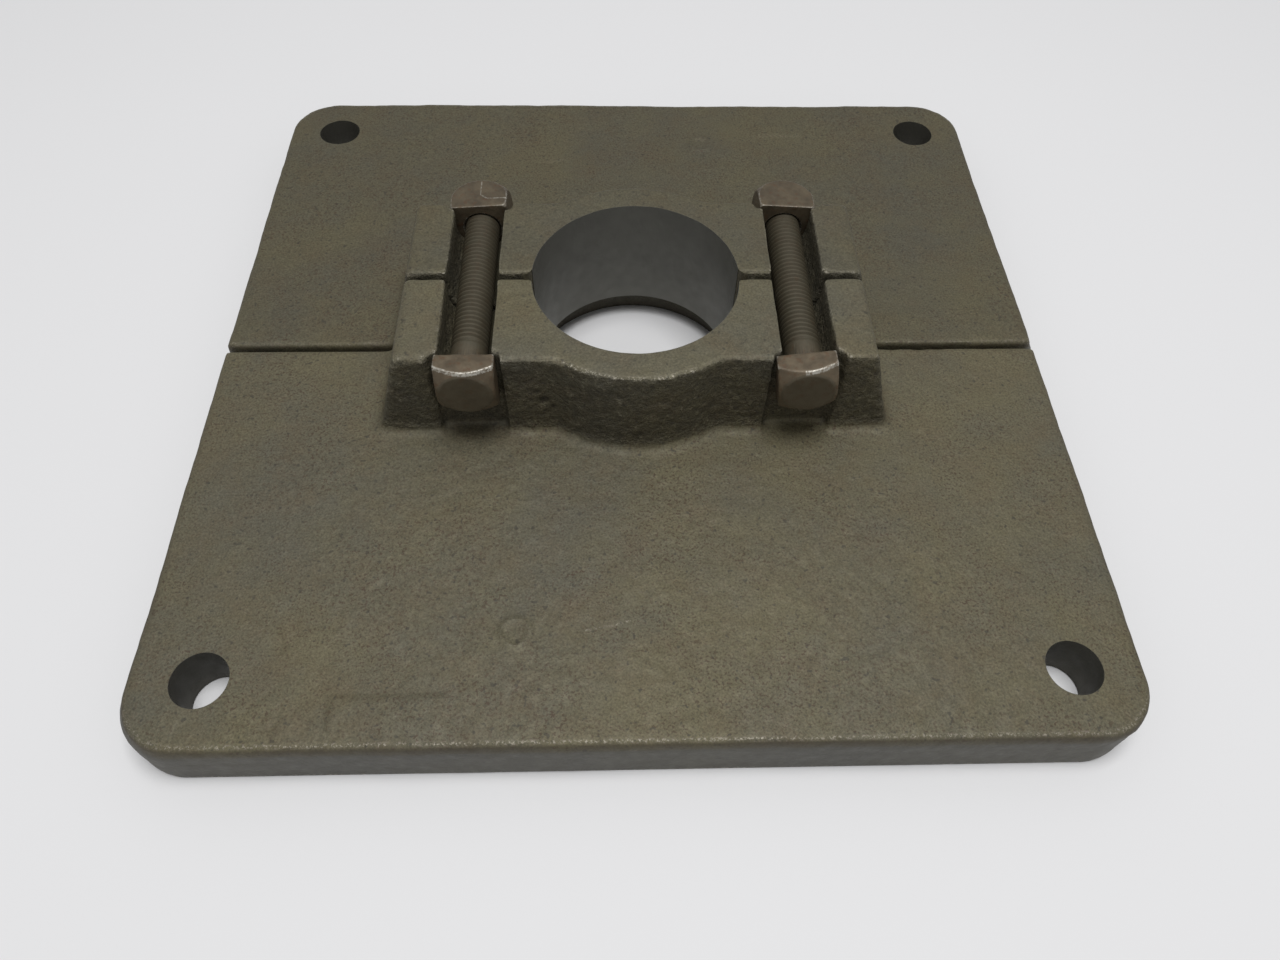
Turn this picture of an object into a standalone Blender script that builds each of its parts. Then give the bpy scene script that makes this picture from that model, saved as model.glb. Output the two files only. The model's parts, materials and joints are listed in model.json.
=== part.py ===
# Split stanchion base: two half castings that clamp a pipe, with two bolts and their nuts.
# Run with: blender --background --python part.py
# Metres, +Z up. The origin is where the bore's axis meets the underside, and the split runs along X.

from math import acos, asin, cos, pi, radians, sin, sqrt, tan

import bmesh
import bpy
from mathutils import Matrix, Vector

# Plate
PLATE_SIDE = 0.3048
PLATE_THICK = 0.01905
PLATE_CORNER = 0.019
PLATE_EDGE = 0.0026
PLATE_FOOT = 0.0006
SPLIT_GAP = 0.0024

# Plate holes
HOLE_RADIUS = 0.0087
HOLE_INSET = 0.0222

# Bore, with a wider relief below the land that grips the pipe
BORE_RADIUS = 0.0357
RELIEF_STEP = 0.0048
RELIEF_HEIGHT = 0.0102
BORE_LIP = 0.0022

# Collar: the boss is the wall round the bore, and the ears are what lies outside the slots
COLLAR_HEIGHT = 0.036
COLLAR_TAPER = 0.0006
COLLAR_END_SLOPE = radians(16)
COLLAR_EDGE = 0.0014
COLLAR_ROOT = 0.004
COLLAR_EAR = 0.0137
BOSS_WALL = 0.0112
BOSS_STAND = 0.0084
BOSS_FILLET = 0.008

# Bolts
BOLT_DIAMETER = 0.0127
BOLT_PROUD = 0.0011
BOLT_TIP = 0.0012
BOLT_DROP = 0.0100
HEAD_FLATS = 0.0196
HEAD_THICK = 0.0092
HEAD_FACE = 0.0168
HEAD_CROWN = radians(36)
LEFT_HEAD_TURN = 0.0
RIGHT_HEAD_TURN = radians(-8)

# Nuts: a square block whose outer end is a dome over the corners
NUT_FLATS = 0.0206
NUT_THICK = 0.0168
NUT_STRAIGHT = 0.0044
LEFT_NUT_TURN = radians(-4)
RIGHT_NUT_TURN = radians(3.5)

# Slots and pockets
SLOT_WALL = 0.0114
SLOT_CLEARANCE = 0.00255
POCKET_CLEARANCE = 0.0007
POCKET_DEPTH = 0.0033

# Gaps between pieces that touch, and round the shank inside the nut
TOUCH = 0.0003
THREAD_CLEARANCE = 0.0003

# How far a cutter runs past what it cuts
OVER = 0.010


def turned_width(flats, turn):
    """How wide a square stands when it is turned."""
    return flats * (cos(turn) + abs(sin(turn)))


plate_half = PLATE_SIDE / 2
hole_place = plate_half - HOLE_INSET
half_face = SPLIT_GAP / 2
relief_radius = BORE_RADIUS + RELIEF_STEP
slot_radius = BOLT_DIAMETER / 2 + SLOT_CLEARANCE
bolt_place = BORE_RADIUS + SLOT_WALL + slot_radius
collar_top = PLATE_THICK + COLLAR_HEIGHT
collar_end = bolt_place + slot_radius + COLLAR_EAR
collar_foot = collar_end + COLLAR_HEIGHT * tan(COLLAR_END_SLOPE)
boss_radius = BORE_RADIUS + BOSS_WALL
collar_face = boss_radius - BOSS_STAND
seat = collar_face - POCKET_DEPTH
bolt_height = collar_top - BOLT_DROP
bolt_length = 2 * (seat + TOUCH) + NUT_THICK + BOLT_PROUD
slot_floor = bolt_height - BOLT_DIAMETER / 2 - TOUCH
nut_corner = NUT_FLATS / sqrt(2)
pocket_width = 2 * POCKET_CLEARANCE + max(
    turned_width(HEAD_FLATS, LEFT_HEAD_TURN), turned_width(HEAD_FLATS, RIGHT_HEAD_TURN),
    turned_width(NUT_FLATS, LEFT_NUT_TURN), turned_width(NUT_FLATS, RIGHT_NUT_TURN))


def start_scene():
    for old in list(bpy.data.objects):
        bpy.data.objects.remove(old, do_unlink=True)
    for name in ("stanchion_base", "cutters"):
        bpy.context.scene.collection.children.link(bpy.data.collections.new(name))


def add_object(name, mesh, collection="cutters"):
    made = bpy.data.objects.new(name, mesh)
    bpy.data.collections[collection].objects.link(made)
    return made


def add_mesh(name, shape):
    """Makes an object of a bmesh, and frees the bmesh."""
    mesh = bpy.data.meshes.new(name)
    shape.to_mesh(mesh)
    shape.free()
    return add_object(name, mesh)


def evaluated_mesh(source):
    bpy.context.view_layer.update()
    graph = bpy.context.evaluated_depsgraph_get()
    return bpy.data.meshes.new_from_object(source.evaluated_get(graph), depsgraph=graph)


def apply_modifiers(target):
    mesh = evaluated_mesh(target)
    target.modifiers.clear()
    target.data = mesh


def take_mesh(source):
    """The finished mesh of a helper object, which is then removed."""
    mesh = evaluated_mesh(source)
    bpy.data.objects.remove(source, do_unlink=True)
    return mesh


def arc(centre, radius, first, last, steps):
    """Points on a circle from the angle first to the angle last, both in radians."""
    turns = [first + (last - first) * i / steps for i in range(steps + 1)]
    return [(centre[0] + radius * cos(a), centre[1] + radius * sin(a)) for a in turns]


def prism(name, outline, low, high):
    """A flat outline in X and Y, made solid between two heights."""
    curve = bpy.data.curves.new(name, "CURVE")
    curve.dimensions = "2D"
    curve.fill_mode = "BOTH"
    curve.extrude = (high - low) / 2
    spline = curve.splines.new("POLY")
    spline.points.add(len(outline) - 1)
    for point, (x, y) in zip(spline.points, outline):
        point.co = (x, y, 0, 1)
    spline.use_cyclic_u = True
    mesh = take_mesh(add_object(name + "_outline", curve))
    shape = bmesh.new()
    shape.from_mesh(mesh)
    bmesh.ops.remove_doubles(shape, verts=shape.verts, dist=1e-6)
    caps = [face for face in shape.faces if abs(face.normal.z) > 0.5 or face.calc_area() < 1e-12]
    bmesh.ops.delete(shape, geom=caps, context="FACES")
    rims = [edge for edge in shape.edges if edge.is_boundary]
    bmesh.ops.edgeloop_fill(shape, edges=rims)
    bmesh.ops.recalc_face_normals(shape, faces=shape.faces)
    bmesh.ops.translate(shape, vec=(0, 0, (low + high) / 2), verts=shape.verts)
    return add_mesh(name, shape)


def block(name, low, high):
    """A box between two corners."""
    low, high = Vector(low), Vector(high)
    shape = bmesh.new()
    bmesh.ops.create_cube(shape, size=1)
    bmesh.ops.scale(shape, vec=high - low, verts=shape.verts)
    bmesh.ops.translate(shape, vec=(low + high) / 2, verts=shape.verts)
    return add_mesh(name, shape)


def drum(name, radius, low, high, centre=(0, 0), steps=96, top_radius=None):
    """An upright cylinder, or a cone where the top radius differs."""
    shape = bmesh.new()
    bmesh.ops.create_cone(shape, cap_ends=True, segments=steps, radius1=radius,
                          radius2=top_radius or radius, depth=high - low)
    bmesh.ops.translate(shape, vec=(*centre, (low + high) / 2), verts=shape.verts)
    return add_mesh(name, shape)


def turned(name, profile, steps):
    """A round body about Z, from a profile that runs down its outer side."""
    mesh = bpy.data.meshes.new(name)
    mesh.from_pydata([(x, 0, z) for x, z in profile], [(i, i + 1) for i in range(len(profile) - 1)], [])
    made = add_object(name, mesh)
    spin = made.modifiers.new("turn", "SCREW")
    spin.steps = steps
    spin.render_steps = steps
    spin.use_merge_vertices = True
    spin.merge_threshold = 0.00001
    apply_modifiers(made)
    return made


def combine(target, other, operation):
    """Adds, cuts or intersects another body, which becomes a hidden cutter."""
    joined = target.modifiers.new(other.name, "BOOLEAN")
    joined.operation = operation
    joined.solver = "EXACT"
    joined.object = other
    other.hide_render = True
    other.display_type = "WIRE"


def round_rims(target, width, steps):
    rims = target.modifiers.new("rims", "BEVEL")
    rims.width = width
    rims.segments = steps
    rims.limit_method = "ANGLE"
    rims.angle_limit = radians(40)
    apply_modifiers(target)


def bevel_edges(target, chosen, width, steps):
    """Rounds the edges that the function chosen picks out."""
    shape = bmesh.new()
    shape.from_mesh(target.data)
    edges = [edge for edge in shape.edges if chosen(edge)]
    bmesh.ops.bevel(shape, geom=edges, offset=width, segments=steps, profile=0.5,
                    affect="EDGES", material=-1)
    shape.to_mesh(target.data)
    shape.free()


def level(edge, height):
    return all(abs(vert.co.z - height) < 1e-5 for vert in edge.verts)


def at_plate_top(edge):
    return level(edge, PLATE_THICK)


def at_plate_foot(edge):
    return level(edge, 0)


def at_collar_root(edge):
    return level(edge, PLATE_THICK) and len(edge.link_faces) == 2 and not edge.is_convex


def at_bore_mouth(edge):
    """The upright edges where the bore and its relief meet the split."""
    upright = abs(edge.verts[0].co.z - edge.verts[1].co.z) > 0.001
    on_split = all(abs(vert.co.y + half_face) < 1e-5 for vert in edge.verts)
    return upright and on_split and all(abs(vert.co.x) < relief_radius + 0.0001 for vert in edge.verts)


def plate_outline():
    """Half of the plate, running past the split so that the split cut is clean."""
    inner = plate_half - PLATE_CORNER
    points = [(plate_half, 2 * OVER), (-plate_half, 2 * OVER)]
    points += arc((-inner, -inner), PLATE_CORNER, pi, 1.5 * pi, 8)
    points += arc((inner, -inner), PLATE_CORNER, 1.5 * pi, 2 * pi, 8)
    return points


def collar_outline():
    """Half of the collar: faces that fall back a little towards its ends, and the round boss
    blended into them by hollow fillets."""
    fillet_y = -(collar_face + BOSS_FILLET)
    reach = boss_radius + BOSS_FILLET
    fillet_x = sqrt(reach ** 2 - fillet_y ** 2)
    meet = acos(fillet_x / reach)
    wide = collar_foot + OVER
    points = [(wide, OVER / 2), (-wide, OVER / 2), (-wide, COLLAR_TAPER - collar_face)]
    points += arc((-fillet_x, fillet_y), BOSS_FILLET, pi / 2, meet, 6)
    points += arc((0, 0), boss_radius, pi + meet, 2 * pi - meet, 24)[1:-1]
    points += arc((fillet_x, fillet_y), BOSS_FILLET, pi - meet, pi / 2, 6)
    points += [(wide, COLLAR_TAPER - collar_face)]
    return points


def end_cutter(side):
    """Slopes the collar's end face outwards towards the plate."""
    far = collar_face + OVER
    reach = 2 * COLLAR_HEIGHT
    low_x, high_x = sorted((0, side * reach))
    cutter = block("end_cut", (low_x, -far, -reach), (high_x, far, reach))
    cutter.data.transform(Matrix.Rotation(-side * COLLAR_END_SLOPE, 4, "Y"))
    cutter.data.transform(Matrix.Translation((side * collar_end, 0, collar_top)))
    return cutter


def slot_cutter(side):
    """An open-topped slot with a round floor, through the collar from front to back."""
    centre = slot_floor + slot_radius
    outline = [(slot_radius, collar_top + OVER), (-slot_radius, collar_top + OVER)]
    outline += arc((0, centre), slot_radius, pi, 2 * pi, 12)
    cutter = prism("slot_cut", outline, -2 * OVER, collar_face + 2 * OVER)
    cutter.data.transform(Matrix.Rotation(pi / 2, 4, "X"))
    cutter.data.transform(Matrix.Translation((side * bolt_place, 0, 0)))
    return cutter


def pocket_cutter(side):
    """The pocket that keeps a head or a nut from spinning, open at the top and outside."""
    x = side * bolt_place
    low = (x - pocket_width / 2, -collar_face - OVER, PLATE_THICK)
    high = (x + pocket_width / 2, -seat, collar_top + OVER)
    return block("pocket_cut", low, high)


def hole_cutter(side):
    return drum("hole_cut", HOLE_RADIUS, -OVER, PLATE_THICK + OVER, (side * hole_place, -hole_place), 32)


def split_cutter():
    far = plate_half + OVER
    return block("split_cut", (-far, -half_face, -OVER), (far, 3 * OVER, collar_top + OVER))


def half_mesh():
    """One half casting, as it stands at the front."""
    half = prism("half", plate_outline(), 0, PLATE_THICK)
    bevel_edges(half, at_plate_top, PLATE_EDGE, 3)
    bevel_edges(half, at_plate_foot, PLATE_FOOT, 2)
    collar = prism("collar", collar_outline(), PLATE_THICK / 2, collar_top)
    for side in (-1, 1):
        combine(collar, end_cutter(side), "DIFFERENCE")
    apply_modifiers(collar)
    round_rims(collar, COLLAR_EDGE, 2)
    combine(half, collar, "UNION")
    apply_modifiers(half)
    bevel_edges(half, at_collar_root, COLLAR_ROOT, 3)
    for side in (-1, 1):
        combine(half, slot_cutter(side), "DIFFERENCE")
        combine(half, pocket_cutter(side), "DIFFERENCE")
        combine(half, hole_cutter(side), "DIFFERENCE")
    combine(half, drum("bore_cut", BORE_RADIUS, -OVER, collar_top + OVER), "DIFFERENCE")
    combine(half, drum("relief_cut", relief_radius, -OVER, RELIEF_HEIGHT), "DIFFERENCE")
    combine(half, split_cutter(), "DIFFERENCE")
    apply_modifiers(half)
    bevel_edges(half, at_bore_mouth, BORE_LIP, 3)
    return take_mesh(half)


def bolt_mesh():
    """A bolt along Z, with its head above z = 0 and its shank below."""
    flat = HEAD_FLATS / 2
    bolt = block("bolt", (-flat, -flat, 0), (flat, flat, HEAD_THICK))
    face = HEAD_FACE / 2
    foot = face + HEAD_THICK / tan(HEAD_CROWN)
    combine(bolt, drum("head_crown", foot, 0, HEAD_THICK, steps=64, top_radius=face), "INTERSECT")
    radius = BOLT_DIAMETER / 2
    inside = HEAD_THICK / 2
    profile = [(0, inside), (radius, inside), (radius, BOLT_TIP - bolt_length),
               (radius - BOLT_TIP, -bolt_length), (0, -bolt_length)]
    combine(bolt, turned("shank", profile, 40), "UNION")
    return take_mesh(bolt)


def nut_mesh():
    """A square nut along Z, with its seat at z = 0 and its domed end above."""
    flat = NUT_FLATS / 2
    nut = block("nut", (-flat, -flat, 0), (flat, flat, NUT_THICK))
    rise = asin((NUT_THICK - NUT_STRAIGHT) / nut_corner)
    dome = arc((0, NUT_STRAIGHT), nut_corner, rise, 0, 10)
    profile = [(0, NUT_THICK)] + dome + [(nut_corner, -OVER), (0, -OVER)]
    combine(nut, turned("nut_dome", profile, 72), "INTERSECT")
    thread = BOLT_DIAMETER / 2 + THREAD_CLEARANCE
    combine(nut, drum("nut_thread", thread, -OVER, NUT_THICK + OVER, steps=40), "DIFFERENCE")
    return take_mesh(nut)


def finish(name, colour, roughness):
    """A metal finish."""
    material = bpy.data.materials.new(name)
    material.use_nodes = True
    shader = material.node_tree.nodes["Principled BSDF"]
    shader.inputs["Base Color"].default_value = (*colour, 1)
    shader.inputs["Roughness"].default_value = roughness
    shader.inputs["Metallic"].default_value = 1.0
    return material


def add_part(name, mesh, colour, roughness, location=(0, 0, 0), rotation=(0, 0, 0)):
    """One named piece with its own finish. Its flat faces stay flat and its round ones shade smooth."""
    mesh = mesh.copy()
    mesh.materials.clear()
    mesh.materials.append(finish(name, colour, roughness))
    mesh.shade_smooth()
    mesh.set_sharp_from_angle(angle=radians(30))
    part = add_object(name, mesh, "stanchion_base")
    part.location = location
    part.rotation_euler = rotation
    return part


start_scene()

casting = half_mesh()
add_part("front_half", casting, (0.20, 0.19, 0.16), 0.65)
add_part("rear_half", casting, (0.20, 0.19, 0.16), 0.65, rotation=(0, 0, pi))

bolt = bolt_mesh()
nut = nut_mesh()
for word, side, head_turn, nut_turn in (("left", -1, LEFT_HEAD_TURN, LEFT_NUT_TURN),
                                        ("right", 1, RIGHT_HEAD_TURN, RIGHT_NUT_TURN)):
    x = side * bolt_place
    add_part(word + "_bolt", bolt, (0.17, 0.14, 0.11), 0.5,
             (x, -seat - TOUCH, bolt_height), (pi / 2, head_turn, 0))
    add_part(word + "_nut", nut, (0.16, 0.12, 0.09), 0.5,
             (x, seat + TOUCH, bolt_height), (-pi / 2, nut_turn, 0))
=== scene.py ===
# Split stanchion base: two rough half castings that clamp a pipe, drawn together by two
# square-headed bolts with domed square nuts. Metres, +Z up, +Y towards the nuts.

import json
from math import cos, pi, radians, sin, tan

import bmesh
import bpy
import numpy as np
from mathutils import Euler, Matrix, Vector, noise


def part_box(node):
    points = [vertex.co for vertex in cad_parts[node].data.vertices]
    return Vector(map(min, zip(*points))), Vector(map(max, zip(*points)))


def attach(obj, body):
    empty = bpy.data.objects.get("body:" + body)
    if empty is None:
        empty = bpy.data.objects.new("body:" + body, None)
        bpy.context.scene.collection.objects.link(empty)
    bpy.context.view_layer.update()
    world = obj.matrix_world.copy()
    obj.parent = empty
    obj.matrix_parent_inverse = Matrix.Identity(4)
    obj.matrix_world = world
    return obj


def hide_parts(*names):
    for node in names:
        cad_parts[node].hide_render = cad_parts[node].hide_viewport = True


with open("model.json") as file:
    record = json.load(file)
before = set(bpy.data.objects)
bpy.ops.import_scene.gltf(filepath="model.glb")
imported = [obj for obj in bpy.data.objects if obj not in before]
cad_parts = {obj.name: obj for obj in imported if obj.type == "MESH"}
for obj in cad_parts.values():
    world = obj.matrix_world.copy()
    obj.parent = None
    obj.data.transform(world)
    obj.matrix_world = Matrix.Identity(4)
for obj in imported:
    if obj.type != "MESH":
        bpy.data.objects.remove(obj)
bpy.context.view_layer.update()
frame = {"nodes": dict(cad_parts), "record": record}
print("frame loaded,", len(frame["nodes"]), "nodes")


viewPoint = {
    "place": (-0.00805, -0.23654, 0.27848),
    "heading": -2.88,           # degrees
    "lookDown": 55.84,
    "roll": 1.89,
    "lens": 25.99,
}

studio = {
    "floorSize": 8.0,
    "floorDrop": 0.0004,        # how far the floor lies under the plate
    "floorColour": (0.80, 0.80, 0.81),
    "skyColour": (1.0, 1.0, 1.0),
    "skyStrength": 0.345,
    "lamps": [                  # name, place, aimed at, size, power
        ("overhead", (0.06, -0.13, 1.60), (0, 0, 0), (0.9, 0.7), 17.8),
    ],
}


def addCamera(settings):
    data = bpy.data.cameras.new("camera")
    data.lens = settings["lens"]
    data.sensor_width = 36
    data.clip_start = 0.01
    camera = bpy.data.objects.new("camera", data)
    bpy.context.scene.collection.objects.link(camera)
    aim = Matrix.Rotation(radians(settings["heading"]), 4, "Z")
    aim = aim @ Matrix.Rotation(radians(90 - settings["lookDown"]), 4, "X")
    aim = aim @ Matrix.Rotation(radians(settings["roll"]), 4, "Z")
    camera.matrix_world = Matrix.Translation(settings["place"]) @ aim
    bpy.context.scene.camera = camera


def addLamp(name, place, target, size, power):
    data = bpy.data.lights.new(name, "AREA")
    data.shape = "RECTANGLE"
    data.size, data.size_y = size
    data.energy = power
    lamp = bpy.data.objects.new(name, data)
    bpy.context.scene.collection.objects.link(lamp)
    lamp.location = place
    lamp.rotation_euler = (Vector(target) - Vector(place)).to_track_quat("-Z", "Y").to_euler()


def addStudio(settings):
    bpy.context.scene.view_settings.view_transform = "Standard"
    world = bpy.data.worlds.new("studio")
    bpy.context.scene.world = world
    world.use_nodes = True
    sky = world.node_tree.nodes["Background"]
    sky.inputs["Color"].default_value = (*settings["skyColour"], 1)
    sky.inputs["Strength"].default_value = settings["skyStrength"]
    for lamp in settings["lamps"]:
        addLamp(*lamp)
    shape = bmesh.new()
    bmesh.ops.create_grid(shape, x_segments=1, y_segments=1, size=settings["floorSize"] / 2)
    bmesh.ops.translate(shape, vec=(0, 0, -settings["floorDrop"]), verts=shape.verts)
    floor = pieceOf("floor", shape)
    paper = bpy.data.materials.new("white_paper")
    paper.use_nodes = True
    shader = paper.node_tree.nodes["Principled BSDF"]
    shader.inputs["Base Color"].default_value = (*settings["floorColour"], 1)
    shader.inputs["Roughness"].default_value = 0.75
    shader.inputs["Specular IOR Level"].default_value = 0.2
    floor.data.materials.append(paper)


def pieceOf(name, shape):
    mesh = bpy.data.meshes.new(name)
    shape.to_mesh(mesh)
    shape.free()
    piece = bpy.data.objects.new(name, mesh)
    bpy.context.scene.collection.objects.link(piece)
    return piece


def settle(piece):
    # puts the result of a piece's modifiers into its mesh
    bpy.context.view_layer.update()
    graph = bpy.context.evaluated_depsgraph_get()
    mesh = bpy.data.meshes.new_from_object(piece.evaluated_get(graph), depsgraph=graph)
    piece.modifiers.clear()
    piece.data = mesh


def remesh(piece, spacing):
    skin = piece.modifiers.new("skin", "REMESH")
    skin.mode = "VOXEL"
    skin.voxel_size = spacing
    settle(piece)


def combine(piece, other, operation):
    joined = piece.modifiers.new("joined", "BOOLEAN")
    joined.operation = operation
    joined.solver = "EXACT"
    joined.object = other
    settle(piece)
    bpy.data.objects.remove(other, do_unlink=True)


def drum(shape, radius, low, high, centre=(0, 0), steps=64, topRadius=None):
    # an upright cylinder, or a cone where the top radius differs
    place = Matrix.Translation((*centre, (low + high) / 2))
    made = bmesh.ops.create_cone(shape, cap_ends=True, segments=steps, radius1=radius,
                                 radius2=topRadius or radius, depth=high - low, matrix=place)
    return made["verts"]


def block(shape, low, high):
    low, high = Vector(low), Vector(high)
    place = Matrix.Translation((low + high) / 2) @ Matrix.Diagonal((*(high - low), 1))
    return bmesh.ops.create_cube(shape, size=1, matrix=place)["verts"]


def smoothstep(value, low, high):
    share = min(max((value - low) / (high - low), 0), 1)
    return share * share * (3 - 2 * share)


def soften(shape, rounds, strength=0.5):
    for _ in range(rounds):
        bmesh.ops.smooth_vert(shape, verts=shape.verts, factor=strength,
                              use_axis_x=True, use_axis_y=True, use_axis_z=True)


def ripple(point, waves, seed):
    # rough height of a cast or forged surface at a point: each wave is its length and its height
    total = 0
    for index, (length, height) in enumerate(waves):
        total += height * noise.noise((point + Vector((seed, 2.3 * index, 0))) / length)
    return total


def keepValues(piece, name, values):
    # one number for each point of a piece, for its finish to read
    layer = piece.data.attributes.get(name) or piece.data.attributes.new(name, "FLOAT", "POINT")
    layer.data.foreach_set("value", np.asarray(values, np.float32))


def near(values, middle, width):
    # 1 at the middle value, falling to 0 at this width on either side of it
    return np.clip(1 - np.abs(values - middle) / width, 0, 1)


def rise(values, start, width):
    # 0 up to the start, and 1 from this width past it
    return np.clip((values - start) / width, 0, 1)


def nearPath(flat, path, width):
    # 1 on a path through flat points, falling to 0 at this width from it
    nearest = np.full(len(flat), 1.0)
    for one, two in zip(np.array(path), np.array(path[1:])):
        run = two - one
        share = np.clip((flat - one) @ run / (run @ run), 0, 1)
        nearest = np.minimum(nearest, np.linalg.norm(flat - one - share[:, None] * run, axis=1))
    return np.clip(1 - nearest / width, 0, 1)


def edgeWear(piece, spread=2):
    # how far each point stands out of its surroundings, as a share of its spacing
    mesh = piece.data
    count = len(mesh.vertices)
    points = np.empty(count * 3)
    mesh.vertices.foreach_get("co", points)
    points = points.reshape(-1, 3)
    normals = np.empty(count * 3)
    mesh.vertices.foreach_get("normal", normals)
    normals = normals.reshape(-1, 3)
    ends = np.empty(len(mesh.edges) * 2, int)
    mesh.edges.foreach_get("vertices", ends)
    one, two = ends.reshape(-1, 2).T
    number = np.maximum(np.bincount(one, minlength=count) + np.bincount(two, minlength=count), 1)

    def around(values):
        total = np.bincount(one, values[two], count) + np.bincount(two, values[one], count)
        return total / number

    middle = np.stack([around(points[:, axis]) for axis in range(3)], 1)
    length = np.linalg.norm(points[one] - points[two], axis=1)
    spacing = np.bincount(one, length, count) + np.bincount(two, length, count)
    stand = ((points - middle) * normals).sum(1) / np.maximum(spacing / number, 1e-9)
    for _ in range(spread):
        stand = 0.5 * stand + 0.5 * around(stand)
    return stand, points, normals


def addNode(tree, kind, inputs=None, **settings):
    node = tree.nodes.new(kind)
    for key, value in settings.items():
        setattr(node, key, value)
    for key, value in (inputs or {}).items():
        socket = node.inputs[key]
        if isinstance(value, bpy.types.NodeSocket):
            tree.links.new(value, socket)
        else:
            socket.default_value = value
    return node


def speckle(tree, coords, size, detail=2.0, roughness=0.5):
    # smooth noise whose features are about this many metres across
    return addNode(tree, "ShaderNodeTexNoise", {
        "Vector": coords, "Scale": 1 / size, "Detail": detail,
        "Roughness": roughness}).outputs["Fac"]


def ramp(tree, value, low, high, start=0.0, end=1.0):
    return addNode(tree, "ShaderNodeMapRange", {
        "Value": value, "From Min": low, "From Max": high,
        "To Min": start, "To Max": end}).outputs["Result"]


def faded(tree, coords, pattern, start=0.0, end=1.0):
    size, detail, roughness, low, high = pattern
    return ramp(tree, speckle(tree, coords, size, detail, roughness), low, high, start, end)


def pieceValue(tree, name):
    return addNode(tree, "ShaderNodeAttribute", attribute_name=name).outputs["Fac"]


def maths(tree, how, one, two):
    return addNode(tree, "ShaderNodeMath", {0: one, 1: two}, operation=how).outputs[0]


def times(tree, one, two):
    return maths(tree, "MULTIPLY", one, two)


def plus(tree, one, two):
    return maths(tree, "ADD", one, two)


def mixColour(tree, share, one, two, how="MIX"):
    node = tree.nodes.new("ShaderNodeMix")
    node.data_type = "RGBA"
    node.blend_type = how
    for key, value in (("Factor_Float", share), ("A_Color", one), ("B_Color", two)):
        socket = next(s for s in node.inputs if s.identifier == key)
        if isinstance(value, bpy.types.NodeSocket):
            tree.links.new(value, socket)
        elif key == "Factor_Float":
            socket.default_value = value
        else:
            socket.default_value = (*value, 1)
    return next(s for s in node.outputs if s.identifier == "Result_Color")


castingTones = {
    "olive": (0.130, 0.115, 0.066),
    "grey": (0.108, 0.100, 0.069),
    "warm": (0.119, 0.092, 0.052),
    "rust": (0.058, 0.032, 0.018),
    # dark tone for pits and hollows, also used to paint shade on the relief's wall
    "pitAndShade": (0.040, 0.036, 0.028),
    "worn": (0.390, 0.360, 0.290),
    "bore": (0.122, 0.120, 0.103),
    "side": (0.104, 0.103, 0.094),
    # painted shade on the plate's rounded top edge, in a darker brown
    "band": (0.066, 0.055, 0.038),
    "metallic": 0.30,
    "roughness": 0.62,
}

castingPatterns = {             # size, detail, roughness, and the two levels it fades between
    "cloud": (0.042, 6.0, 0.62, 0.36, 0.64),
    "patch": (0.013, 5.0, 0.70, 0.46, 0.72),
    "grain": (0.0007, 2.0, 0.80, 0.32, 0.68),
    "rustArea": (0.024, 3.0, 0.60, 0.38, 0.62),
    "rustSpecks": (0.0009, 2.0, 0.60, 0.545, 0.63),
    "dots": (0.0017, 1.0, 0.40, 0.665, 0.74),
    "brokenWear": (0.0009, 3.0, 0.80, 0.52, 0.60),
    "boreSmear": (0.009, 3.0, 0.50, 0.35, 0.65),
    "dull": (0.004, 3.0, 0.50, 0.30, 0.70),
    "dents": (0.0034, 2.0, 0.50, 0.30, 0.55),
}
castingLumps = (0.0024, 4.0, 0.68)      # size, detail and roughness of the sandy faces
castingSand = (0.0009, 3.0, 0.65)

castingShares = {               # how strongly each tone lies over the ones before it
    "patch": 0.5,
    "grain": 0.28,              # lighter and darker by this
    "rust": 0.68,
    "rustLeast": 0.35,          # outside the rusty areas
    "rustOnCollar": 0.45,
    "dots": 0.6,
    "side": 0.75,
    "band": (0.8, 0.5),
    "worn": 0.85,
    "hollow": 0.6,
    "lumpLows": 0.6,
    "glint": 0.35,
    "boreSmear": 1.12,          # the lighter streaks of the bore
    "holeWall": 0.8,
    "holeDark": 0.5,
}
wallReach = 0.00006             # bare metal ends this far outside a bored wall


def inCircle(tree, coords, centre, radius):
    # 1 inside upright circles of this radius, one round each place (+-centre, +-centre)
    def step(how, *values):
        node = addNode(tree, "ShaderNodeVectorMath", dict(enumerate(values)), operation=how)
        return node.outputs

    offset = step("SUBTRACT", step("ABSOLUTE", coords)[0], (centre, centre, 0))[0]
    across = step("LENGTH", step("MULTIPLY", offset, (1, 1, 0))[0])["Value"]
    return maths(tree, "LESS_THAN", across, radius)


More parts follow.
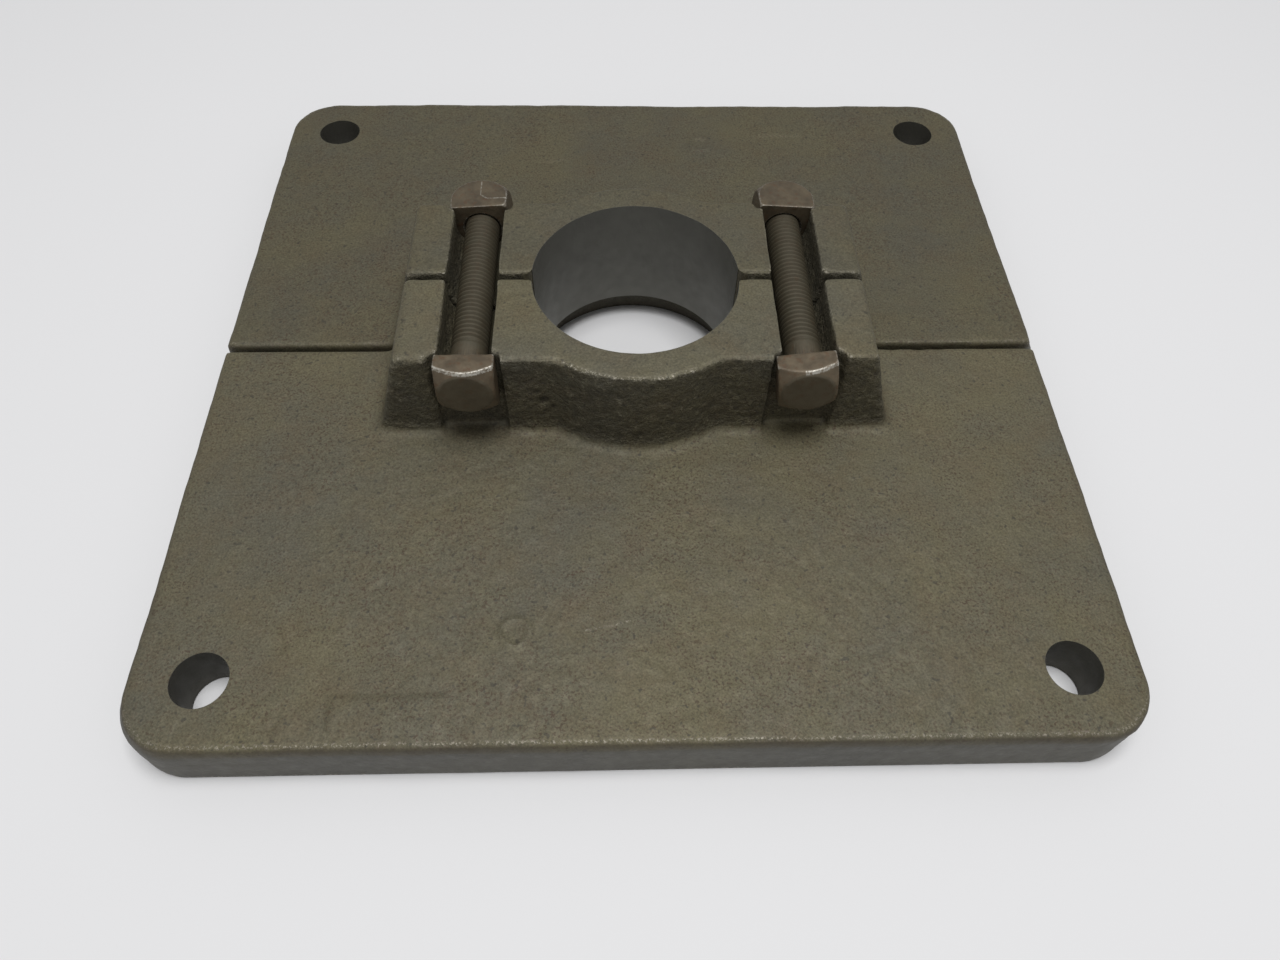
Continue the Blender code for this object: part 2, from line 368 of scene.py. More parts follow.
def castingFinish(name, tones, base, paintedShade):
    material = bpy.data.materials.new(name)
    material.use_nodes = True
    tree = material.node_tree
    shader = tree.nodes["Principled BSDF"]
    coords = addNode(tree, "ShaderNodeTexCoord").outputs["Object"]
    shares = castingShares

    def pattern(key, start=0.0, end=1.0):
        return faded(tree, coords, castingPatterns[key], start, end)

    def lay(over, amount, share, tone):
        return mixColour(tree, times(tree, amount, share), over, tone)

    cloud = pattern("cloud")
    colour = mixColour(tree, cloud, tones["grey"], tones["olive"])
    colour = lay(colour, pattern("patch"), shares["patch"], tones["warm"])
    # the grain also carries the shade factor, which darkens the rear half's copy of this finish as painted
    # shade
    grain = pattern("grain", (1 - shares["grain"]) * paintedShade, (1 + shares["grain"]) * paintedShade)
    grey = addNode(tree, "ShaderNodeCombineColor", {"Red": grain, "Green": grain, "Blue": grain})
    colour = mixColour(tree, 1.0, colour, grey.outputs["Color"], "MULTIPLY")
    height = addNode(tree, "ShaderNodeSeparateXYZ", {0: coords}).outputs["Z"]
    lower = ramp(tree, height, base["plateTop"], base["collarTop"], 1.0, shares["rustOnCollar"])
    rusty = times(tree, pattern("rustArea", shares["rustLeast"], 1.0), lower)
    specks = times(tree, pattern("rustSpecks"), rusty)
    colour = lay(colour, specks, shares["rust"], tones["rust"])
    colour = lay(colour, pattern("dots"), shares["dots"], tones["pitAndShade"])
    wear = pieceValue(tree, "wear")
    bright = times(tree, ramp(tree, wear, 0.07, 0.22), pattern("brokenWear"))
    colour = lay(colour, pieceValue(tree, "side"), shares["side"], tones["side"])
    # the band on the plate's rounded top edge is painted shade, stronger where the cloud is low
    bandShadeShare = ramp(tree, cloud, 0.0, 1.0, *shares["band"])
    colour = lay(colour, pieceValue(tree, "band"), bandShadeShare, tones["band"])
    colour = lay(colour, bright, shares["worn"], tones["worn"])
    # darker in the hollows; the relief's wall is set deeply hollow, so that this paints shade on it
    colour = lay(colour, ramp(tree, wear, -0.04, -0.20), shares["hollow"], tones["pitAndShade"])
    sandy = pieceValue(tree, "sandy")
    lumps = speckle(tree, coords, *castingLumps)
    # darker in the low parts of the lumps on the steep faces
    lumpLows = times(tree, sandy, ramp(tree, lumps, 0.36, 0.66, 0.9, 0.0))
    colour = lay(colour, lumpLows, shares["lumpLows"], tones["pitAndShade"])
    # painted highlight on the tops of the lumps, in the worn tone
    glint = times(tree, sandy, ramp(tree, lumps, 0.60, 0.72))
    colour = lay(colour, glint, shares["glint"], tones["worn"])
    # the bored walls are bare of casting skin
    bored = inCircle(tree, coords, 0, base["boreRadius"] + wallReach)
    drilled = inCircle(tree, coords, abs(base["holes"][0][0]), base["holeRadius"] + wallReach)
    streaks = [shares["boreSmear"] * part for part in tones["bore"]]
    smear = mixColour(tree, pattern("boreSmear"), tones["bore"], streaks)
    colour = mixColour(tree, bored, colour, smear)
    holeTone = [shares["holeDark"] * part for part in tones["bore"]]
    colour = lay(colour, drilled, shares["holeWall"], holeTone)
    tree.links.new(colour, shader.inputs["Base Color"])
    dull = pattern("dull", tones["roughness"] - 0.06, tones["roughness"] + 0.08)
    dull = plus(tree, dull, times(tree, bright, -0.22))       # worn and bored metal is glossier
    dull = plus(tree, dull, times(tree, bored, -0.14))
    tree.links.new(dull, shader.inputs["Roughness"])
    shader.inputs["Metallic"].default_value = tones["metallic"]
    sand = times(tree, speckle(tree, coords, *castingSand), 0.5)
    bumps = times(tree, ramp(tree, lumps, 0.30, 0.72), times(tree, sandy, 9.0))
    skin = plus(tree, plus(tree, sand, times(tree, pattern("dents"), 0.8)), bumps)
    walls = maths(tree, "MAXIMUM", bored, drilled)
    skin = times(tree, skin, ramp(tree, walls, 0.0, 1.0, 1.0, 0.12))
    bump = addNode(tree, "ShaderNodeBump", {"Height": skin, "Strength": 0.6, "Distance": 0.00022})
    tree.links.new(bump.outputs["Normal"], shader.inputs["Normal"])
    return material


steelTones = {
    "bolt": {
        "light": (0.150, 0.116, 0.074),
        "dark": (0.092, 0.070, 0.044),
        "rust": (0.110, 0.056, 0.027),
    },
    "nut": {
        "light": (0.124, 0.098, 0.062),
        "dark": (0.080, 0.062, 0.040),
        "rust": (0.105, 0.055, 0.028),
    },
    "worn": (0.420, 0.400, 0.350),
    "grime": (0.030, 0.026, 0.020),
    "dust": (0.072, 0.066, 0.044),
    "metallic": 0.30,
    "roughness": 0.50,
}

steelPatterns = {               # as for the castings
    "cloud": (0.006, 4.0, 0.60, 0.36, 0.64),
    "blotch": (0.0024, 3.0, 0.60, 0.54, 0.68),
    "brokenWear": (0.0009, 3.0, 0.70, 0.36, 0.56),
    "dull": (0.0015, 3.0, 0.50, 0.30, 0.70),
}
steelGrain = (0.0007, 3.0, 0.60)        # size, detail and roughness

steelShares = {
    "blotch": 0.6,
    "hollow": 0.75,
    "dust": (0.55, 0.85),
}


def steelFinish(kind, tones):
    material = bpy.data.materials.new("browned_steel_" + kind)
    material.use_nodes = True
    tree = material.node_tree
    shader = tree.nodes["Principled BSDF"]
    coords = addNode(tree, "ShaderNodeTexCoord").outputs["Object"]
    own, shares = tones[kind], steelShares

    def pattern(key, start=0.0, end=1.0):
        return faded(tree, coords, steelPatterns[key], start, end)

    def lay(over, amount, share, tone):
        return mixColour(tree, times(tree, amount, share), over, tone)

    cloud = pattern("cloud")
    colour = mixColour(tree, cloud, own["dark"], own["light"])
    colour = lay(colour, pattern("blotch"), shares["blotch"], own["rust"])
    wear = pieceValue(tree, "wear")
    bright = times(tree, ramp(tree, wear, 0.07, 0.20), pattern("brokenWear"))
    colour = mixColour(tree, bright, colour, tones["worn"])
    colour = lay(colour, ramp(tree, wear, -0.05, -0.22), shares["hollow"], tones["grime"])
    settled = ramp(tree, cloud, 0.0, 1.0, *shares["dust"])
    colour = lay(colour, pieceValue(tree, "dusty"), settled, tones["dust"])
    tree.links.new(colour, shader.inputs["Base Color"])
    dull = pattern("dull", tones["roughness"] - 0.06, tones["roughness"] + 0.10)
    dull = plus(tree, dull, times(tree, bright, -0.15))
    tree.links.new(dull, shader.inputs["Roughness"])
    shader.inputs["Metallic"].default_value = tones["metallic"]
    bump = addNode(tree, "ShaderNodeBump", {
        "Height": speckle(tree, coords, *steelGrain), "Strength": 0.35, "Distance": 0.00012})
    tree.links.new(bump.outputs["Normal"], shader.inputs["Normal"])
    return material


def readBase():
    low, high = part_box("front_half")
    openings = frame["record"]["physics"]["openings"]
    holes = [one["box_m"] for one in openings if one["name"].endswith("_hole")]
    centres = [((a[0] + b[0]) / 2, (a[1] + b[1]) / 2) for a, b in holes]
    mounts = frame["record"]["mounts"]
    points = [v.co for v in frame["nodes"]["front_half"].data.vertices]
    holeAt = Vector(next(c for c in centres if c[0] > 0 and c[1] < 0))
    return {
        "splitFace": -high.y,
        "plateHalf": high.x,
        "plateTop": next(m["pos_m"][2] for m in mounts if m["axis"][2] > 0.5),
        "plateCorner": (2 * high.x - max(p.x - p.y for p in points)) / (2 - 2 ** 0.5),
        "collarTop": high.z,
        "boreRadius": min(p.xy.length for p in points),
        "reliefRadius": min(p.xy.length for p in points if p.z < 0.001),
        "bossRadius": max(-p.y for p in points if p.z > high.z - 0.001),
        "holes": centres,
        "holeRadius": min((p.xy - holeAt).length for p in points),
    }


base = readBase()
print("bore %.2f mm, relief %.2f mm, hole %.2f mm, plate %.2f mm" % tuple(
    1000 * base[key] for key in ("boreRadius", "reliefRadius", "holeRadius", "plateTop")))


casting = {
    "spacing": 0.00098,         # of the fine surface
    "softenRounds": 2,
    "plugSpare": 0.0008,        # how far the plugs of the blank reach past the walls they fill
    "cutSpare": 0.010,          # how far the cutters reach past the casting
    "cutStep": 0.0005,          # each ends beyond the last, so that no two ends lie in one plane
    "slabReach": 0.006,         # how far the split's cutter runs past the bore
    "reliefHeight": 0.0102,
    "lip": (0.0042, 0.0018),    # how the split rounds off into the bore, along it and across it
    "waves": [(0.070, 0.00045), (0.024, 0.00026), (0.0085, 0.00016), (0.0038, 0.00009)],
    "sandWaves": [(0.0056, 0.00022), (0.0032, 0.00030)],   # rougher, on the collar's front faces
    "sandFrom": 0.74,           # which start at this share of the boss's radius
    "nickLength": 0.0045,       # chipped places along the edges
    "nickDepth": 0.0022,
    "padFade": 0.0010,          # how wide the slopes at the sides of a pad are
    "foldDepth": 0.00035,
    "foldWidth": 0.0016,
    "partingHeight": 0.0152,    # the mould's parting line round the plate's edge
    "partingFade": 0.0006,
    "partingShift": 0.0010,     # how far the lower mould box sat to one side
    "footHeight": 0.0009,       # the edge round the underside stays sharp below this
    "footSpread": 0.0006,       # how far the side leans out by the time it meets the underside
    "rimHollow": 0.00025,       # the side falls in a little between the parting line and the top
}

castingWearAndShade = {
    "rub": 0.16,                # on the boss's worn top edge
    "rubWidth": 0.0014,
    "rubDepth": 0.0016,
    "lip": 0.16,                # on the plate's top edge, most along the side away from the split
    "lipWidth": 0.0011,
    "lipDepth": 0.0012,
    "lipLeast": 0.35,           # share of it on the other sides
    "lipFull": (0.130, 0.015),  # it grows from this distance from the split, over this width
    "edgeRound": 0.0026,        # of the plate's top edge
    "edgeFade": 0.0008,
    "bandTop": (0.0003, 0.0006),
    "rimWidth": 0.0016,         # freshly cut rims of the bore and holes, which show no wear
    "relief": -0.4,             # the relief's wall is painted dark, as shade
}

# each half's own marks, in the place that it takes when it stands in front
frontMarks = {
    "seed": 0.0,
    "pads": [(-0.0743, -0.1413, 0.0330, 0.0102, 0.00060)],         # x, y, length, width, height
    "rings": [(-0.0385, -0.1166, 0.0044, 0.0011, 0.00065)],        # x, y, radius, thickness, height
    "rubbed": [(-122, -66)],                                       # arcs of the boss's top edge, in degrees
    "scratches": [([(-0.0177, -0.1161), (-0.0130, -0.1152), (-0.0031, -0.1130)], 0.0011, 0.20)],
    "folds": [
        [(-0.1209, -0.1084), (-0.1148, -0.1112), (-0.1104, -0.1149), (-0.1078, -0.1206)],
        [(-0.0821, -0.0999), (-0.0794, -0.1031), (-0.0780, -0.1072)],
        [(-0.1112, -0.1438), (-0.1071, -0.1459), (-0.1058, -0.1439)],
    ],
    "pits": [                                                      # place, radius, depth
        ((-0.0313, -0.0385, 0.0345), 0.0024, 0.0016),
        ((-0.0285, -0.0388, 0.0310), 0.0013, 0.0009),
        ((-0.0335, -0.0385, 0.0390), 0.0011, 0.0007),
        ((-0.0126, -0.0455, 0.0270), 0.0014, 0.0008),
        ((0.0010, -0.0470, 0.0250), 0.0016, 0.0009),
        ((0.0080, -0.0465, 0.0300), 0.0012, 0.0007),
    ],
}
rearMarks = {
    "seed": 5.0,
    "pads": [(-0.0690, -0.1320, 0.0210, 0.0085, 0.00050)],
    "rings": [(-0.0321, -0.1219, 0.0044, 0.0011, 0.00060)],
    "rubbed": [],
    "scratches": [],
    "folds": [[(0.0300, -0.1100), (0.0350, -0.1080), (0.0395, -0.1092)]],
    "pits": [
        ((0.0300, -0.0385, 0.0400), 0.0015, 0.0008),
        ((-0.0180, -0.0440, 0.0300), 0.0014, 0.0008),
    ],
}


def castingBlank(name, node):
    # the half as it comes out of the mould, with no bore and no holes
    shape = bmesh.new()
    shape.from_mesh(frame["nodes"][node].data)
    bmesh.ops.remove_doubles(shape, verts=shape.verts, dist=1e-6)
    side = -1 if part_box(node)[0].y < -base["plateHalf"] / 2 else 1
    spare = casting["plugSpare"]
    plug = bmesh.new()
    drum(plug, base["boreRadius"] + spare, 0, base["collarTop"], steps=96)
    drum(plug, base["reliefRadius"] + spare, 0, casting["reliefHeight"] + spare, steps=96)
    for x, y in base["holes"]:
        drum(plug, base["holeRadius"] + spare, 0, base["plateTop"], (x, y), 32)
    bmesh.ops.bisect_plane(plug, geom=plug.verts[:] + plug.edges[:] + plug.faces[:],
                           plane_co=(0, side * base["splitFace"], 0), plane_no=(0, -side, 0),
                           clear_outer=True)
    bmesh.ops.holes_fill(plug, edges=[e for e in plug.edges if e.is_boundary])
    filling = bpy.data.meshes.new("plug")
    plug.to_mesh(filling)
    plug.free()
    shape.from_mesh(filling)
    blank = pieceOf(name, shape)
    remesh(blank, casting["spacing"])
    return blank


def lipOutline(radius, gap, length, depth):
    # the opening between the halves, where both of them round off into the bore
    turns = [-pi + pi / 2 * step / 6 for step in range(7)]
    upper = [(radius + length + length * cos(turn), gap + depth + depth * sin(turn))
             for turn in turns]
    return [(0.97 * radius, 0)] + upper + [(x, -y) for x, y in reversed(upper)]


def prism(shape, outline, low, high):
    face = shape.faces.new([shape.verts.new((x, y, low)) for x, y in outline])
    raised = bmesh.ops.extrude_face_region(shape, geom=[face])["geom"]
    lifted = [part for part in raised if isinstance(part, bmesh.types.BMVert)]
    bmesh.ops.translate(shape, vec=(0, 0, high - low), verts=lifted)
    bmesh.ops.recalc_face_normals(shape, faces=shape.faces)


def boreCutter():
    # the bore with its relief, and the split on both sides of it with rounded lips
    radius, gap = base["boreRadius"], base["splitFace"]
    spare, step = casting["cutSpare"], casting["cutStep"]
    top, reach = base["collarTop"] + spare, radius + casting["slabReach"]
    bore = bmesh.new()
    drum(bore, radius, -spare, top, steps=192)
    cutter = pieceOf("bore_cutter", bore)
    slab = bmesh.new()
    block(slab, (-reach, -gap, -spare - 2 * step), (reach, gap, top + 2 * step))
    combine(cutter, pieceOf("slab", slab), "UNION")
    for side in (-1, 1):
        lips = bmesh.new()
        outline = [(side * x, y) for x, y in lipOutline(radius, gap, *casting["lip"])]
        prism(lips, outline, -spare - step, top + step)
        combine(cutter, pieceOf("lips", lips), "UNION")
    relief = bmesh.new()
    drum(relief, base["reliefRadius"], -spare - 4 * step, casting["reliefHeight"], steps=192)
    combine(cutter, pieceOf("relief", relief), "UNION")
    return cutter


def holeCutters(cutter):
    shape = bmesh.new()
    shape.from_mesh(cutter.data)
    low, high = -casting["cutSpare"], base["plateTop"] + casting["cutSpare"]
    for x, y in base["holes"]:
        drum(shape, base["holeRadius"], low, high, (x, y), 64)
    shape.to_mesh(cutter.data)
    shape.free()


def distanceToPath(point, path):
    nearest = 1.0
    for one, two in zip(path, path[1:]):
        one, two = Vector(one), Vector(two)
        run = two - one
        share = min(max((point - one).dot(run) / run.length_squared, 0), 1)
        nearest = min(nearest, (point - one - share * run).length)
    return nearest


def markHeight(place, marks):
    # what the marks add to the plate's top at a place
    height = 0
    for x, y, length, width, tall in marks["pads"]:
        past = max(abs(place.x - x) - length / 2, abs(place.y - y) - width / 2)
        height += tall * (1 - smoothstep(past, -casting["padFade"], casting["padFade"]))
    for x, y, radius, thickness, tall in marks["rings"]:
        off = abs((place.xy - Vector((x, y))).length - radius)
        height += tall * (1 - smoothstep(off, thickness * 0.3, thickness * 1.3))
    for path in marks["folds"]:
        off = distanceToPath(place.xy, path)
        height -= casting["foldDepth"] * (1 - smoothstep(off, 0.0002, casting["foldWidth"]))
    return height


def sideOffset(x, y):
    # how far a place lies outside the plate's outline, and less than 0 inside it
    inner = base["plateHalf"] - base["plateCorner"]
    wide, deep = np.abs(x) - inner, np.abs(y) - inner
    outside = np.hypot(np.maximum(wide, 0), np.maximum(deep, 0))
    return outside + np.minimum(np.maximum(wide, deep), 0) - base["plateCorner"]


def partingLine(place, normal):
    # how far a point of the plate's side moves along X, leans outwards and falls in
    if abs(normal.z) > 0.75 or sideOffset(place.x, place.y) < -0.004:
        return 0, 0, 0
    line, fade, top = casting["partingHeight"], casting["partingFade"], base["plateTop"]
    below = 1 - smoothstep(place.z, line - fade, line + fade)
    band = (1 - below) * (1 - smoothstep(place.z, top - 3 * fade, top - fade))
    lean = casting["footSpread"] * max(0, 1 - place.z / line)
    return -below * casting["partingShift"], lean, band * casting["rimHollow"]


def squareFoot(vert):
    # brings the plate's side back out to its outline where it meets the underside
    offset = float(sideOffset(vert.co.x, vert.co.y))
    if vert.co.z > 0.003 or offset < -casting["footHeight"] * 1.2:
        return Vector()
    level = Vector((vert.normal.x, vert.normal.y, 0))
    return -offset * level.normalized() if level.length > 0.2 else Vector()


def chipDepth(vert, seed):
    # the sharper the edge, the deeper it is chipped, in some places and not in others
    others = [edge.other_vert(vert) for edge in vert.link_edges]
    sharp = sum((other.co - vert.co).dot(vert.normal) for other in others)
    sharp = min(max(-sharp / len(others) / casting["spacing"] - 0.03, 0), 0.3)
    chip = noise.noise(vert.co / casting["nickLength"] + Vector((seed, 7, 0)))
    return casting["nickDepth"] * sharp * max(chip, -0.2)


def castMove(vert, marks, side):
    # how far a point of the smooth casting moves
    place = vert.co * -side if side > 0 else vert.co.copy()   # as if it stood in front
    place.z = vert.co.z
    onBase = smoothstep(vert.co.z, 0.0002, 0.0030)
    move = ripple(vert.co, casting["waves"], marks["seed"])
    if vert.co.z > base["plateTop"] and place.y < -casting["sandFrom"] * base["bossRadius"]:
        steep = 1 - smoothstep(abs(vert.normal.z), 0.35, 0.75)
        move += steep * ripple(vert.co, casting["sandWaves"], marks["seed"])
    aside, lean, inward = partingLine(place, vert.normal)
    move -= inward
    move -= chipDepth(vert, marks["seed"])
    if vert.normal.z > 0.8 and vert.co.z < base["plateTop"] + 0.002:
        move += markHeight(place, marks)
    for centre, radius, depth in marks["pits"]:
        off = (place - Vector(centre)).length
        move -= depth * (1 - smoothstep(off, 0.2 * radius, 1.2 * radius))
    facesSplit = -side * vert.normal.y > 0.3
    if facesSplit and abs(vert.co.y) < base["splitFace"] + 0.003:
        return vert.normal * min(move, 0) * onBase            # nothing stands out into the gap
    return vert.normal * (move * onBase + lean) - Vector((side * aside, 0, 0)) + squareFoot(vert)


def roughen(piece, marks, side):
    shape = bmesh.new()
    shape.from_mesh(piece.data)
    soften(shape, casting["softenRounds"])
    shape.normal_update()
    moves = [castMove(vert, marks, side) for vert in shape.verts]
    for vert, move in zip(shape.verts, moves):
        vert.co += move
        if vert.co.z < casting["footHeight"]:
            vert.co.z = 0
    # the flat underside needs no points inside it
    under = [face for face in shape.faces if all(vert.co.z == 0 for vert in face.verts)]
    flat = {vert for face in under for vert in face.verts}
    inner = [vert for vert in flat
             if all(end in flat for edge in vert.link_edges for end in edge.verts)]
    bmesh.ops.dissolve_verts(shape, verts=inner)
    shape.to_mesh(piece.data)
    shape.free()


def weatherCasting(half, marks, side):
    wear, points, normals = edgeWear(half)
    amount = castingWearAndShade
    flat, height = points[:, :2] * -side, points[:, 2]
    for path, width, strength in marks["scratches"]:
        wear += strength * nearPath(flat, path, width) * (np.abs(height - base["plateTop"]) < 0.001)
    # the plate's top edge is rubbed bright, with a darker brown band of painted shade on its rounding and a
    # grey side below it
    offset, depth = sideOffset(points[:, 0], points[:, 1]), base["plateTop"] - height
    edgeRound = amount["edgeRound"]
    lip = near(offset, -0.85 * edgeRound, amount["lipWidth"]) * (depth < amount["lipDepth"])
    away = np.maximum(rise(-flat[:, 1], *amount["lipFull"]), amount["lipLeast"])
    wear += amount["lip"] * lip * away
    below = rise(depth, edgeRound, amount["edgeFade"])
    keepValues(half, "side", (offset > -0.0025) * below)
    # the band of painted shade covers the rounding of the top edge
    keepValues(half, "band", rise(depth, *amount["bandTop"]) * (1 - below) * (offset > -0.003))
    # so is the boss's
    across = np.linalg.norm(points[:, :2], axis=1)
    turn = np.degrees(np.arctan2(flat[:, 1], flat[:, 0]))
    edge = near(across, base["bossRadius"], amount["rubWidth"])
    edge *= height > base["collarTop"] - amount["rubDepth"]
    for first, last in marks["rubbed"]:
        wear += amount["rub"] * edge * (turn > first) * (turn < last)
    rim = np.abs(across - base["boreRadius"]) < amount["rimWidth"]
    for centre in base["holes"]:
        off = np.linalg.norm(points[:, :2] - centre, axis=1)
        rim |= np.abs(off - base["holeRadius"]) < amount["rimWidth"]
    # the relief's wall gets a deep hollow value, so that its finish paints it dark as shade
    relief = (across > base["boreRadius"] + 0.001) & (height < casting["reliefHeight"] + 0.0005)
    relief &= across < base["reliefRadius"] + 0.0002
    keepValues(half, "wear", np.where(relief, amount["relief"], np.where(rim, 0, wear)))
    steep = np.clip((0.75 - np.abs(normals[:, 2])) / 0.35, 0, 1)
    outside = across > base["boreRadius"] + 0.004
    keepValues(half, "sandy", steep * rise(height, base["plateTop"] + 0.0005, 0.002) * outside)


def castHalf(name, node, marks, paintedShade):
    side = 1 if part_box(node)[1].y > base["plateHalf"] / 2 else -1
    half = castingBlank(name, node)
    print(name, "blank has", len(half.data.polygons), "faces")
    roughen(half, marks, side)
    cutter = boreCutter()
    holeCutters(cutter)
    combine(half, cutter, "DIFFERENCE")
    print(name, "is bored,", len(half.data.polygons), "faces")
    half.data.shade_smooth()
    half.data.set_sharp_from_angle(angle=radians(38))
    weatherCasting(half, marks, side)
    half.data.materials.clear()
    half.data.materials.append(castingFinish(name, castingTones, base, paintedShade))
    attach(half, node)
    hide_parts(node)
    return half


bolt = {
    "headFlats": 0.0196, "headThick": 0.0092, "faceRadius": 0.0084, "crown": radians(36),
    "pitch": 0.0254 / 13, "crest": 0.00632, "groove": 0.00068,
    "neck": 0.00622, "neckLength": 0.0080, "fade": 0.0030, "tip": 0.0012,
    "turnSteps": 36, "spacing": 0.00038, "wornLine": 0.00068,
    "waves": [(0.009, 0.00014), (0.0032, 0.00008), (0.0014, 0.00004)],
    # one turn of thread: 1 at the crest or 0 at the root, and how far along the turn
    "thread": [(1, 0), (1, -0.26), (0, -0.53), (0, -0.73), (1, -1)],
    "faceDust": 0.7,            # on the head's end face, next to the shank's 1
}

nut = {
    "flats": 0.0206, "thick": 0.0168, "straight": 0.0044, "hole": 0.00640, "mouth": 0.0008,
    "spacing": 0.00042, "wornLine": 0.0006, "arcWear": 0.12, "scratch": 0.00042,
    "waves": [(0.009, 0.00016), (0.0034, 0.00009), (0.0015, 0.00004)],
    "leftScratch": [(0.0005, 0.0138), (0.0005, 0.0065), (0.0030, 0.0042), (0.0102, 0.0038)],
}

steelWear = {
    "painted": 0.22,            # on the lines that are worn through
    "underDust": 0.3,           # share of the wear that still shows under full dust
}


def weather(piece, spacing, waves, seed, rounds=2):
    remesh(piece, spacing)
    shape = bmesh.new()
    shape.from_mesh(piece.data)
    soften(shape, rounds)
    shape.normal_update()
    moves = [ripple(vert.co, waves, seed) for vert in shape.verts]
    for vert, move in zip(shape.verts, moves):
        vert.co += vert.normal * move
    shape.to_mesh(piece.data)
    shape.free()


def boltHead(seed):
    half = bolt["headFlats"] / 2
    head = bmesh.new()
    block(head, (-half, -half, 0), (half, half, bolt["headThick"]))
    piece = pieceOf("head", head)
    crown = bmesh.new()
    foot = bolt["faceRadius"] + bolt["headThick"] / tan(bolt["crown"])
    drum(crown, foot, 0, bolt["headThick"], topRadius=bolt["faceRadius"])
    combine(piece, pieceOf("crown", crown), "INTERSECT")
    weather(piece, bolt["spacing"], bolt["waves"], seed)
    return piece


def threadedShank(length):
    pitch, crest, root = bolt["pitch"], bolt["crest"], bolt["crest"] - bolt["groove"]
    start = -bolt["neckLength"] + 2 * pitch
    turns = int((length - bolt["neckLength"]) / pitch) + 5
    shape = bmesh.new()
    verts = [shape.verts.new((crest if outer else root, 0, start + along * pitch))
             for outer, along in bolt["thread"]]
    edges = [shape.edges.new(pair) for pair in zip(verts, verts[1:])]
    steps = bolt["turnSteps"] * turns
    bmesh.ops.spin(shape, geom=verts + edges, cent=(0, 0, 0), axis=(0, 0, 1), angle=2 * pi * turns,
                   dvec=(0, 0, -pitch / bolt["turnSteps"]), steps=steps, use_merge=False)
    bmesh.ops.remove_doubles(shape, verts=shape.verts, dist=1e-6)
    for height, facing in ((-bolt["neckLength"] + 0.0005, 1), (-length, -1)):
        bmesh.ops.bisect_plane(shape, geom=shape.verts[:] + shape.edges[:] + shape.faces[:],
                               plane_co=(0, 0, height), plane_no=(0, 0, facing), clear_outer=True)
        rim = [edge for edge in shape.edges
               if edge.is_boundary and all(abs(vert.co.z - height) < 1e-6 for vert in edge.verts)]
        bmesh.ops.edgeloop_fill(shape, edges=rim)
    for vert in shape.verts:
        radius = vert.co.xy.length
        if radius < 0.001:
            continue
        fade = 1 - smoothstep(-bolt["neckLength"] - vert.co.z, 0, bolt["fade"])
        wanted = radius + (bolt["neck"] - radius) * fade
        wanted = min(wanted, crest - bolt["tip"] + (vert.co.z + length))
        vert.co.x *= wanted / radius
        vert.co.y *= wanted / radius
    bmesh.ops.recalc_face_normals(shape, faces=shape.faces)
    return pieceOf("shank", shape)


def crownLine(x, y, z):
    # where the crown meets the side of the head that lies on top
    rim = bolt["headThick"] - (np.hypot(x, y) - bolt["faceRadius"]) * tan(bolt["crown"])
    return near(z, rim, bolt["wornLine"]) * (y > bolt["headFlats"] / 2 - 0.001)


def shankDust(x, y, z):
    onFace = z > bolt["headThick"] - 0.0005
    return np.maximum(rise(-z, 0.0006, 0.002), bolt["faceDust"] * onFace)


def makeBolt(name, node, turn, wornFrom, seed):
    low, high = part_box(node)
    length = high.y - low.y - bolt["headThick"]
    piece = boltHead(seed)
    piece.name = name
    neck = bmesh.new()
    drum(neck, bolt["neck"], -bolt["neckLength"] - 0.001, 0.003, steps=48)
    shank = threadedShank(length)
    combine(shank, pieceOf("neck", neck), "UNION")
    combine(piece, shank, "UNION")
    wearSteel(piece, lambda x, y, z: crownLine(x, y, z) * (x > wornFrom), shankDust)
    centre = Vector(((low.x + high.x) / 2, low.y + bolt["headThick"], (low.z + high.z) / 2))
    seatOnBase(piece, centre, Euler((pi / 2, turn, 0)), "bolt", node)
    return piece


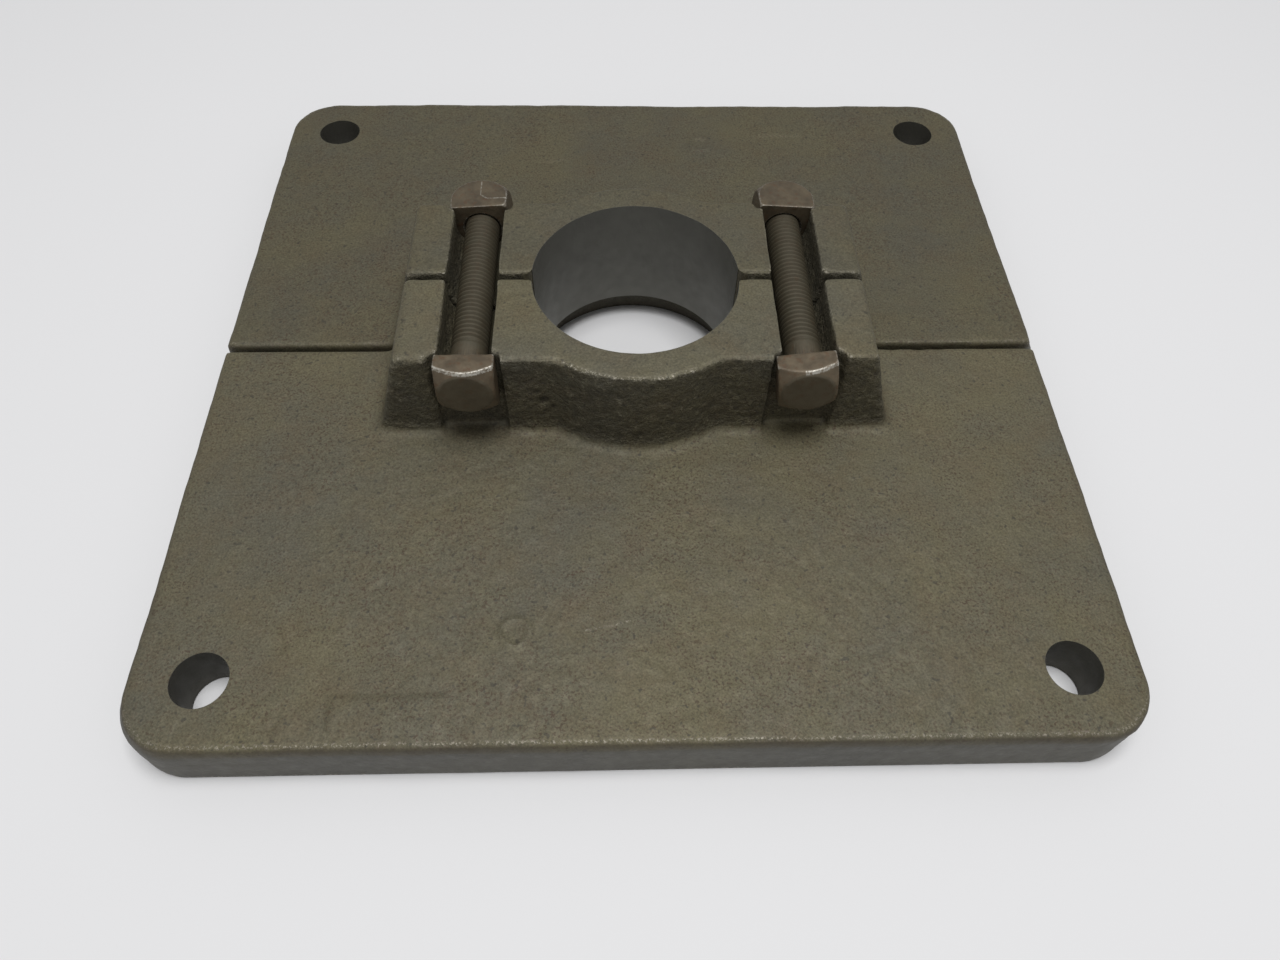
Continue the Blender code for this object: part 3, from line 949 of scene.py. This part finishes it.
def makeNut(name, node, turn, scratch, seed):
    low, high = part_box(node)
    half = nut["flats"] / 2
    corner = half * 2 ** 0.5
    shape = bmesh.new()
    block(shape, (-half, -half, 0), (half, half, nut["thick"]))
    piece = pieceOf(name, shape)
    dome = bmesh.new()
    bmesh.ops.create_uvsphere(dome, u_segments=96, v_segments=48, radius=corner,
                              matrix=Matrix.Translation((0, 0, nut["straight"])))
    combine(piece, pieceOf("dome", dome), "INTERSECT")
    weather(piece, nut["spacing"], nut["waves"], seed)
    hole = bmesh.new()
    drum(hole, nut["hole"], -0.01, nut["thick"] + 0.01, steps=64)
    combine(piece, pieceOf("hole", hole), "DIFFERENCE")
    step = nut["mouth"]
    for height, facing in ((nut["thick"], 1), (0, -1)):
        mouth = bmesh.new()
        deep, out = nut["hole"] - step, nut["hole"] + 2 * step
        bottom, top = sorted((height - 2 * step * facing, height + step * facing))
        lower, upper = (deep, out) if facing > 0 else (out, deep)
        drum(mouth, lower, bottom, top, steps=64, topRadius=upper)
        combine(piece, pieceOf("mouth", mouth), "DIFFERENCE")

    def worn(x, y, z):
        arc = near(np.hypot(x, z - nut["straight"]), half, nut["wornLine"])
        cut = nearPath(np.stack([x, z], 1), scratch, nut["scratch"]) if scratch else 0
        return np.maximum(nut["arcWear"] * arc, cut) * (y < 0.001 - half)

    wearSteel(piece, worn, lambda x, y, z: np.hypot(x, y) < nut["hole"] + 0.0003)
    centre = Vector(((low.x + high.x) / 2, low.y, (low.z + high.z) / 2))
    seatOnBase(piece, centre, Euler((-pi / 2, turn, 0)), "nut", node)
    return piece


def wearSteel(piece, painted, dusty):
    wear, points, _ = edgeWear(piece)
    x, y, z = points.T
    worn = painted(x, y, z)
    dust = dusty(x, y, z)
    wear *= 1 - (1 - steelWear["underDust"]) * dust
    keepValues(piece, "wear", wear + steelWear["painted"] * worn)
    keepValues(piece, "dusty", dust)


def seatOnBase(piece, centre, turn, kind, node):
    piece.data.transform(Matrix.Translation(centre) @ turn.to_matrix().to_4x4())
    piece.data.shade_smooth()
    piece.data.set_sharp_from_angle(angle=radians(35))
    piece.data.materials.clear()
    piece.data.materials.append(steelMaterials[kind])
    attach(piece, node)
    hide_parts(node)


addCamera(viewPoint)
addStudio(studio)
steelMaterials = {kind: steelFinish(kind, steelTones) for kind in ("bolt", "nut")}

frontHalf = castHalf("front_casting", "front_half", frontMarks, 1.0)
# the rear half gets a darker copy of the casting finish, as painted shade
rearHalf = castHalf("rear_casting", "rear_half", rearMarks, 0.86)

makeBolt("left_clamp_bolt", "left_bolt", 0.0, -1, 1.0)
makeBolt("right_clamp_bolt", "right_bolt", radians(-8), -0.001, 2.0)
makeNut("left_clamp_nut", "left_nut", radians(-4), nut["leftScratch"], 3.0)
makeNut("right_clamp_nut", "right_nut", radians(3.5), [], 4.0)
print("bolts and nuts are in place")
